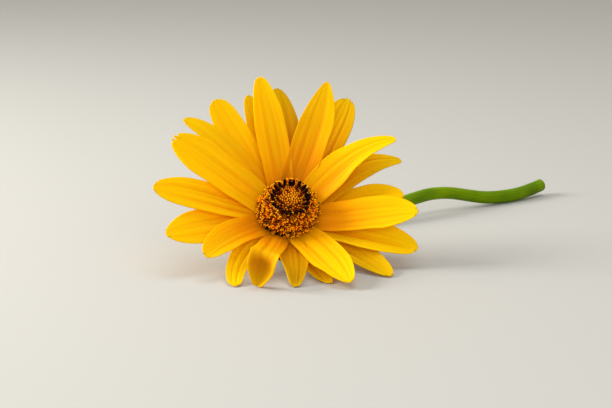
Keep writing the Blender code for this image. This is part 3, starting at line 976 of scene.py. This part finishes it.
stands = []
tones = []
for k, share in enumerate(spiral_shares(0.0, OPEN_TO, OPEN_COUNT)):
    size = near(OPEN_SIZE - INNER_SMALLER * share, SIZE_SPREAD)
    lean = RIM_LEAN + INNER_LEAN * share
    sink = OPEN_SINK + chance.uniform(*SINK_CHANCE)
    turn = near(k * GOLDEN_ANGLE, TURN_SPREAD)
    there = max(near(share, SHARE_SPREAD), 0.0)
    spin = chance.uniform(0.0, FULL_TURN)
    stands.append(stand(there, turn, lean, sink, size, spin, OPEN_WOBBLE))
    tones.append(chance.uniform(*OPEN_TONES))
with_arms = [k for k in range(OPEN_COUNT) if chance.random() < WITH_ARMS]
with_anthers = [k for k in range(OPEN_COUNT) if chance.random() < WITH_ANTHERS]
tubes = planted("open_tubes", open_tube(), stands, tones)
place_piece("open_tubes", tubes, ORANGE_TUBE, ["disc_florets_open"])
arms = planted(
    "open_styles", style_arms(), [stands[k] for k in with_arms], [tones[k] for k in with_arms]
)
place_piece("open_styles", arms, POLLEN_STYLE, ["disc_florets_open"])
anther = turned("anther", ANTHER_PROFILE, steps=6, tone=0.1)
anthers = planted(
    "open_anthers", anther, [stands[k] for k in with_anthers], [tones[k] for k in with_anthers]
)
place_piece("open_anthers", anthers, DARK_ANTHER, ["disc_florets_open"])
print("open florets:", len(tubes.polygons), "+", len(arms.polygons), "+", len(anthers.polygons), "faces")

# %% [markdown]
# Inside them stands the dark ring: florets whose anther tubes have just pushed out. Their
# membrane is dry and nearly black, and the inner ones still show some maroon, so the finish is
# dull and goes from black to a warm brown. They stand in a full outer row and two sparser ones
# inside it, each in an orange collar, which is the open tube again. Three of the oldest florets,
# at the rim's lower left, have already withered black: they are the same shape once more.

# %% The dark ring
DARK_PROFILE = [(0.28, 0.0), (0.34, 1.4), (0.47, 2.3), (0.46, 3.1), (0.3, 3.6), (0.0, 3.8)]
# Each row of the ring: its share, how many, how deep they are sunk, the turn of the first one as
# a part of a step, their size, and the part of them that is there
DARK_ROWS = (
    (0.615, 22, 1.6, 0.0, 1.08, 1.0),
    (0.665, 20, 1.6, 0.5, 0.85, 0.6),
    (0.72, 16, 1.6, 0.2, 0.65, 0.4),
)
DARK_LEAN = 0.15
DARK_WOBBLE = 0.1
STEP_SPREAD = 0.2
SINK_SPREAD = 0.2
INNER_WARMER = 0.25
DARK_TONES = (0.0, 0.3)
SPENT_TURNS = (193.0, 204.0, 226.0)
SPENT_SHARE = 0.04
SPENT_TONE = 0.2
COLLAR_SIZE = 0.85
COLLAR_TONE = 0.15
DARK_FLORET = tissue(
    "dark_floret",
    [(0.1, "#2A0602"), (0.4, "#120201"), (0.7, "#1C0401"), (0.85, "#4A0E02"), (1.0, "#8A3002")],
    roughness=0.75,
    speckle=0.2,
    bump=0.04,
)
dark = turned("dark_floret", DARK_PROFILE, steps=8, tone=0.0)
tone_by_height(dark, low=0.0, high=0.25)
dark_stands = []
dark_tones = []
for share, count, sink, offset, size, kept in DARK_ROWS:
    warmer = 0.0 if share == DARK_ROWS[0][0] else INNER_WARMER
    for k in range(count):
        turn = near(k + offset, STEP_SPREAD) * 2 * math.pi / count
        there = near(share, SHARE_SPREAD)
        deeper = near(sink, SINK_SPREAD)
        if chance.random() < kept:
            dark_stands.append(stand(there, turn, DARK_LEAN, deeper, size, 0.0, DARK_WOBBLE))
            dark_tones.append(warmer + chance.uniform(*DARK_TONES))
ring = planted("dark_ring", dark, dark_stands, dark_tones)
place_piece("dark_ring", ring, DARK_FLORET, ["disc_florets_dark"])
spent_stands = [
    stand(SPENT_SHARE, math.radians(turn), lean=0.4, sink=1.2, size=0.95, spin=0.0, wobble=DARK_WOBBLE)
    for turn in SPENT_TURNS
]
spent = planted("spent_florets", dark, spent_stands, [SPENT_TONE] * len(spent_stands))
place_piece("spent_florets", spent, DARK_FLORET, ["disc_florets_open"])
collar_stands = [matrix @ Matrix.Scale(COLLAR_SIZE, 4) for matrix in dark_stands]
collars = planted("dark_collars", open_tube(), collar_stands, [COLLAR_TONE] * len(collar_stands))
place_piece("dark_collars", collars, ORANGE_TUBE, ["disc_florets_dark"])
print("dark florets:", len(dark_stands), "in the ring and", len(spent_stands), "at the rim")

# %% [markdown]
# Then come the closed buds, which wind to the middle of the disc. A bud is a firm little knob
# with a smooth skin. The outer ones are maroon or brown-orange, those at the middle pale gold,
# and every one is dark at its foot, which is painted shade where the buds crowd. One ramp
# holds all these colours, and each bud's tone picks its stretch of it.

# %% The buds
BUD_PROFILE = [(0.2, 0.0), (0.3, 1.0), (0.36, 1.5), (0.22, 1.95), (0.0, 2.1)]
BUD_COUNT = 125
BUDS_FROM = 0.65
BUDS_TO = 0.999
BUD_LEAN = 0.25
BUD_SINK = 1.2
INNER_RISE = 0.3
INNER_TAPER = 0.25
BUD_WOBBLE = 0.1
DULL_CHANCE = 0.4
DULL_TONE = -0.22
BRIGHT_TONE = 0.12
INNER_PALER = 0.58
PALER_POWER = 1.8
BUD_TONE_SPREAD = 0.1
BUD_SKIN = tissue(
    "bud_skin",
    [(0.0, "#240402"), (0.25, "#7A2600"), (0.45, "#D07400"), (0.75, "#EE9C04"), (1.0, "#F8B810")],
    roughness=0.6,
    speckle=0.15,
    bump=0.03,
)
bud = turned("bud", BUD_PROFILE, steps=6, tone=0.0)
# The dark foot is painted shade where the buds crowd.
tone_by_height(bud, low=-0.5, high=0.2)
bud_stands = []
bud_tones = []
for k, share in enumerate(spiral_shares(BUDS_FROM, BUDS_TO, BUD_COUNT)):
    inner = (share - BUDS_FROM) / (1.0 - BUDS_FROM)
    sink = BUD_SINK - INNER_RISE * inner
    size = 1.0 - INNER_TAPER * inner
    bud_stands.append(stand(share, k * GOLDEN_ANGLE, BUD_LEAN, sink, size, k, BUD_WOBBLE))
    dull = chance.random() < DULL_CHANCE * (1.0 - inner)
    tone = (DULL_TONE if dull else BRIGHT_TONE) + INNER_PALER * inner**PALER_POWER
    bud_tones.append(near(tone, BUD_TONE_SPREAD))
buds = planted("buds", bud, bud_stands, bud_tones)
place_piece("buds", buds, BUD_SKIN, ["disc_buds"])
print("buds:", len(bud_stands))

# %% [markdown]
# Under the head sits the involucre, whose bracts are thick little leaves. Their green comes from
# deep inside and their skin is waxy, so they are darker than a petal, let no light through and
# have a soft sheen. A pale midrib runs up the middle, and fine veins beside it.

# %% Leaf tissue
LEAF_GREENS = [(0.3, "#2C4A12"), (0.55, "#436A1C"), (0.8, "#5C8228")]
MIDRIB_GREEN = linear("#86A84A")


def leaf_tissue():
    """Opaque green with a pale midrib."""
    made, tree = new_material("bract_leaf")
    place = blade_map(tree)
    veins = streaks(tree, place, across=12.0, along=2.0, detail=3.0)
    away = calculate(tree, "SUBTRACT", share_of(tree, place, ACROSS), 0.5)
    away = calculate(tree, "ABSOLUTE", away)
    rib = follow(tree, away, low=0.02, high=0.1, at_low=0.7, at_high=0.0)
    skin = principled(
        tree,
        {
            "Base Color": mix_colours(tree, rib, colour_ramp(tree, veins, LEAF_GREENS), MIDRIB_GREEN),
            "Roughness": 0.55,
            "IOR": 1.42,
            "Normal": relief(tree, veins, strength=0.4, depth=0.1),
        },
    )
    cover(tree, skin)
    return made


BRACT_LEAF = leaf_tissue()
print("made", BRACT_LEAF.name)

# %% [markdown]
# The bracts stand in two rows of eight, the second row in the gaps of the first. A leaf could be
# drawn as a shape of its own, but the blade rule above already gives a pointed tip and a curl, so
# they use it, with a gentle fold along the middle. No two are quite alike in heading, length and
# rise.

# %% The bracts
BRACTS_A_ROW = 8
# Each row: how far from the axis it grows and how deep, its rise and its width
BRACT_RINGS = ((4.2, -6.55, 4.0, 4.8), (5.8, -5.7, 12.0, 4.4))
BRACT_GRID = (30, 13)
BRACT_THICK = 0.45
BRACT_CLAW = 0.55
BRACT_FOLD = 0.18
# The clock angle of the first bract, and how far chance turns each of them
FIRST_BRACT = 11.0
CLOCK_SPREAD = 3.0
BRACT_LENGTH = 9.4
LENGTH_CHANCE = (-0.5, 0.6)
RISE_SPREAD = 4.0
BRACT_SEED = 100

bracts = []
for ring_number, (root, depth, rise, width) in enumerate(BRACT_RINGS):
    for k in range(BRACTS_A_ROW):
        clock = near((k + 0.5 * ring_number) * 360.0 / BRACTS_A_ROW + FIRST_BRACT, CLOCK_SPREAD)
        length = BRACT_LENGTH + chance.uniform(*LENGTH_CHANCE)
        lift = near(rise, RISE_SPREAD)
        # The numbers come in the same order as a petal's.
        blade = Petal(
            clock, 0, length, width, lift, 6, 0, 12, 0.42, 1.8, 0.8, "last", 0.0, 0.12, 0, 0, start=0.4
        )
        rows, columns = BRACT_GRID
        points, values = blade_points(
            blade,
            rows=rows,
            columns=columns,
            root_radius=root,
            depth=depth,
            root_share=BRACT_CLAW,
            pleat=0.0,
            vein=0.0,
            seed=BRACT_SEED + BRACTS_A_ROW * ring_number + k,
        )
        fold = BRACT_FOLD * np.abs(np.linspace(-1, 1, columns))
        points = points + fold[None, :, None] * [0, 0, 1]
        name = f"bract_{len(bracts) + 1:02d}"
        bract = blade_piece(name, points, values, BRACT_THICK, BRACT_LEAF, 0.0)
        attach(bract, "root")
        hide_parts("involucre")
        bracts.append(bract)
print("bracts:", len(bracts))

# %% [markdown]
# The stem is a soft, faintly ribbed tube, a little thicker towards its cut end. A curve with a
# round bevel would be quicker, but its section stays a plain circle. So the route is a smooth
# line through a few given points, and a grid is rolled round it further on.

# %% The stem's route
STEM_ROUTE = (
    (-0.6, 5.6, 8.6),
    (-0.9, 10.0, 5.0),
    (0.0, 17.0, 2.1),
    (4.0, 26.0, 1.75),
    (12.0, 33.5, 2.2),
    (24.0, 42.0, 3.6),
    (34.0, 50.0, 5.0),
    (41.0, 56.0, 5.9),
    (47.0, 61.5, 6.2),
    (53.0, 65.5, 5.6),
    (59.0, 68.8, 4.1),
    (65.0, 71.8, 2.7),
    (71.0, 75.2, 2.1),
    (77.5, 79.8, 2.1),
    (83.0, 85.3, 2.6),
    (86.5, 89.0, 3.1),
)
STEM_ROWS = 260
CURVE_STEPS = 20
SMOOTHINGS = 12


def smooth_route(points, steps):
    """Points evenly spread along a smooth curve through the given ones, and its length."""
    given = [Vector(p) for p in points]
    given = [given[0] * 2 - given[1]] + given + [given[-1] * 2 - given[-2]]
    fine = []
    for a, b, c, d in zip(given, given[1:], given[2:], given[3:]):
        for k in range(CURVE_STEPS):
            t = k / CURVE_STEPS
            swing = (a * 2 - b * 5 + c * 4 - d) * t**2 + (b * 3 - a - c * 3 + d) * t**3
            fine.append((b * 2 + (c - a) * t + swing) / 2)
    fine.append(given[-2])
    line = np.array([tuple(p) for p in fine])
    run = np.concatenate([[0.0], np.cumsum(np.linalg.norm(np.diff(line, axis=0), axis=1))])
    wanted = np.linspace(0.0, run[-1], steps)
    line = np.stack([np.interp(wanted, run, line[:, k]) for k in range(3)], axis=1)
    for smoothing in range(SMOOTHINGS):
        line[1:-1] = (line[:-2] + 2 * line[1:-1] + line[2:]) / 4
    return line, run[-1]


stem_line, stem_length = smooth_route(STEM_ROUTE, STEM_ROWS)
stem_line = stem_line + np.array([HEAD_AT.x, HEAD_AT.y, 0.0])
print("the stem is", round(stem_length), "mm long")

# %% [markdown]
# A stem's skin is a thin waxy film over wet green cells. Light goes in a little way and comes out
# softened, and the film gives a weak sheen. So the finish is a green with some light under its
# surface, fine strands along it and broad, slow patches. At the cut end the spongy pith is pale.

# %% Stem tissue
STEM_GREENS = [(0.5, "#425E00"), (0.75, "#5A7A00"), (1.0, "#749000")]
PITH_GREEN = linear("#B4BC66")
STRAND_SHARE = 0.6
PATCHES_A_METRE = 85.0


def stem_skin():
    """Soft, strandy green that turns pale at the cut end."""
    made, tree = new_material("stem_skin")
    place = blade_map(tree)
    # Strands about 0.4 mm apart, and patches every 12 mm or so.
    strands = streaks(tree, place, across=34.0, along=9.0, detail=4.0)
    patches = object_noise(tree, scale=PATCHES_A_METRE, detail=2.0)
    mixed = calculate(tree, "MULTIPLY_ADD", strands, STRAND_SHARE, patches)
    pith = follow(
        tree, share_of(tree, place, ALONG), low=0.985, high=0.993, at_low=0.0, at_high=1.0
    )
    skin = principled(
        tree,
        {
            "Base Color": mix_colours(tree, pith, colour_ramp(tree, mixed, STEM_GREENS), PITH_GREEN),
            "Roughness": 0.5,
            "IOR": 1.42,
            "Specular IOR Level": 0.06,
            "Subsurface Weight": 0.15,
            "Subsurface Radius": (0.6, 1.0, 0.2),
            "Subsurface Scale": 0.8 * MM,
            "Normal": relief(tree, strands, strength=0.35, depth=0.12),
        },
    )
    cover(tree, skin)
    return made


STEM_SKIN = stem_skin()
print("made", STEM_SKIN.name)

# %% [markdown]
# A flat grid is rolled round the route: U runs around it and V along it. The ribs are waves round
# the tube, and a slow swelling runs along it. The last rows close the cut end, where the pith
# lies a little lower than the firm skin round it.

# %% The stem
NECK_RADIUS = 1.75
CUT_END_RADIUS = 2.15
STEM_COLUMNS = 48
# Each set of ribs: how high they are, how many, and how far they wander, in radians
RIBS = ((0.03, 7, 3), (0.025, 11, -5))
# The slow swelling: how high it is, and the radians that it runs through along the stem
SWELLING = 0.05
SWELLING_RADIANS = 23
# The rows at the cut end: their part of the tube's radius, and how far past its end they lie
CUT_END = ((1.0, 0.0), (0.93, 0.06), (0.86, -0.05), (0.6, -0.16), (0.3, -0.1), (0.12, -0.2), (0.0, -0.2))


def tube_frames(line):
    """A side and an over direction at each point of a line, without twisting between them."""
    ahead = np.gradient(line, axis=0)
    ahead = ahead / np.linalg.norm(ahead, axis=1)[:, None]
    over = np.zeros_like(line)
    over[0] = np.cross(ahead[0], (1.0, 0.0, 0.0))
    for k in range(1, len(line)):
        over[k] = over[k - 1] - ahead[k] * (over[k - 1] @ ahead[k])
        over[k] /= np.linalg.norm(over[k])
    over[0] /= np.linalg.norm(over[0])
    return ahead, np.cross(over, ahead), over


def stem_radius(share, turn):
    """The tube's radius at a share of its length and at an angle round it."""
    radius = NECK_RADIUS + (CUT_END_RADIUS - NECK_RADIUS) * share
    for height, count, twist in RIBS:
        radius += height * math.cos(count * turn + twist * share)
    return radius + SWELLING * math.sin(SWELLING_RADIANS * share + 1.0)


def stem_tube():
    """A grid rolled round the stem's route and closed at the cut end."""
    ahead, aside, over = tube_frames(stem_line)
    last = STEM_ROWS - 1
    columns = STEM_COLUMNS + 1
    rows = last + len(CUT_END)
    sheet = mapped_grid(columns, rows)
    for vertex, row, column in grid_points(sheet, columns, rows):
        k = min(row, last)
        part, push = CUT_END[row - k]
        turn = 2 * math.pi * (column % STEM_COLUMNS) / STEM_COLUMNS
        radius = part * stem_radius(k / last, turn)
        at = stem_line[k] + ahead[k] * push
        at = at + radius * (math.cos(turn) * aside[k] + math.sin(turn) * over[k])
        vertex.co = Vector(at) * MM
    bmesh.ops.remove_doubles(sheet, verts=sheet.verts, dist=1e-6)
    bmesh.ops.recalc_face_normals(sheet, faces=sheet.faces)
    return finished("stem", sheet)


stem_mesh = stem_tube()
stem_mesh.materials.append(STEM_SKIN)
stem_piece = in_scene("flower_stem", stem_mesh)
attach(stem_piece, "root")
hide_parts("stem")
print("stem:", len(stem_mesh.polygons), "faces")

# %% [markdown]
# The stem ends in the receptacle, the cushion that carries the florets above and the bracts
# below. Seen from behind it is the smooth green funnel between the stem and the bracts, and the
# bracts' own cup lies round it. Both are round, so they are turned from an outline of radii and
# heights, in the leafy green of a smooth, thick skin.

# %% The receptacle and the cup
RECEPTACLE_WALL = [
    (1.7, -9.0),
    (1.85, -8.4),
    (2.1, -7.6),
    (2.7, -6.7),
    (3.6, -5.9),
    (5.2, -5.0),
    (6.6, -4.4),
    (7.3, -3.9),
    (7.35, -2.0),
    (7.3, -0.1),
    (5.2, 0.2),
]
CUP_WALL = [
    (1.7, -8.9),
    (2.1, -8.7),
    (2.9, -8.2),
    (3.8, -7.6),
    (4.9, -7.0),
    (6.2, -6.2),
    (7.3, -5.3),
    (7.45, -4.6),
    (7.3, -4.4),
]
CUP_TISSUE = tissue(
    "green_cup",
    [(0.0, "#3A5A14"), (0.6, "#54801E"), (1.0, "#6E9428")],
    roughness=0.55,
    speckle=1.2,
    bump=0.1,
)
funnel = turned("receptacle", RECEPTACLE_WALL, steps=ROUND_STEPS, tone=0.3)
place_piece("receptacle", funnel, CUP_TISSUE, ["stem"])
cup = turned("involucre_cup", CUP_WALL, steps=ROUND_STEPS, tone=0.25)
place_piece("involucre_cup", cup, CUP_TISSUE, ["involucre"])
print("receptacle:", len(funnel.polygons), "faces")

# %% [markdown]
# The flower lies on a plain pale floor, which is set a hair lower than its lowest points, so that
# the two don't flicker. The floor is matte card: its fibres scatter light evenly, so it shows soft
# shadows and no mirror image.

# %% The floor
FLOOR_REACH = 3.0
FLOOR_HEIGHT = -0.0002


def studio_floor():
    """A large square of matte card."""
    board = bmesh.new()
    bmesh.ops.create_grid(board, x_segments=1, y_segments=1, size=FLOOR_REACH)
    mesh = finished("floor", board)
    finish, tree = new_material("matte_board")
    card = {"Base Color": linear("#B4B3AF"), "Roughness": 0.9, "Specular IOR Level": 0.1}
    cover(tree, principled(tree, card))
    mesh.materials.append(finish)
    made = in_scene("floor", mesh)
    made.location.z = FLOOR_HEIGHT
    return made


studio_floor()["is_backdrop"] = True
print("the floor reaches", FLOOR_REACH, "m to every side")

# %% [markdown]
# The light is that of a soft studio. The key light is a panel low at the left, which is the side
# the flower is lit from: it draws the grooves and the petals' edges. Two weak panels, above and
# in front, and an even pale sky keep the shaded sides open. The plain display transform keeps
# soft yellows as strong as they are.

# %% The light
# All panels point at this spot, near the middle of the flower's head.
AIM = Vector((-0.02, -0.02, 0.02))
SKY_STRENGTH = 0.72


def panel(name, place, size, watts, colour):
    """A square light panel that faces the flower."""
    lamp = bpy.data.lights.new(name, "AREA")
    lamp.size = size
    lamp.energy = watts
    lamp.color = linear(colour)[:3]
    made = in_scene(name, lamp)
    made.location = place
    made.rotation_euler = (AIM - Vector(place)).to_track_quat("-Z", "Y").to_euler()


panel("key", (-0.65, 0.0, 0.34), size=0.35, watts=6.9, colour="#FFFCF6")
panel("top", (0.0, 0.05, 0.75), size=0.4, watts=1.6, colour="#FFFFFF")
panel("front", (0.1, -0.7, 0.3), size=0.5, watts=2.0, colour="#FFFFFF")

world = bpy.data.worlds.new("studio")
world.use_nodes = True
sky = world.node_tree.nodes["Background"]
sky.inputs["Color"].default_value = linear("#F2EFE8")
sky.inputs["Strength"].default_value = SKY_STRENGTH
bpy.context.scene.world = world
bpy.context.scene.view_settings.view_transform = "Standard"
print("panels:", [lamp.name for lamp in bpy.data.lights])

# %% [markdown]
# The camera looks a little down on the flower through a long lens, which keeps near and far
# petals at nearly the same scale. Its place is given from the head's, in metres.

# %% The camera
LENS_MM = 100.0
SENSOR_MM = 36.0
NEAREST = 0.01
CAMERA_ASIDE = 0.00543
CAMERA_AWAY = 0.486
CAMERA_HEIGHT = 0.128
CAMERA_DOWN = 12.89

lens = bpy.data.cameras.new("camera")
lens.lens = LENS_MM
lens.sensor_width = SENSOR_MM
lens.clip_start = NEAREST
camera = in_scene("camera", lens)
camera.location = (HEAD_AT.x * MM + CAMERA_ASIDE, HEAD_AT.y * MM - CAMERA_AWAY, CAMERA_HEIGHT)
camera.rotation_euler = (math.radians(90.0 - CAMERA_DOWN), 0.0, 0.0)
bpy.context.scene.camera = camera
print("camera at", [round(x, 3) for x in camera.location])

# %% [markdown]
# The dressed flower is meant to keep the size of its solids, so both boxes are printed.

# %% Sizes
dressed_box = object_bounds()
boxes = {
    "cad": [list(corner) for corner in solid_box],
    "visual": [list(corner) for corner in dressed_box],
}
for name, (low, high) in boxes.items():
    print(name, [round((b - a) / MM, 1) for a, b in zip(low, high)], "mm")
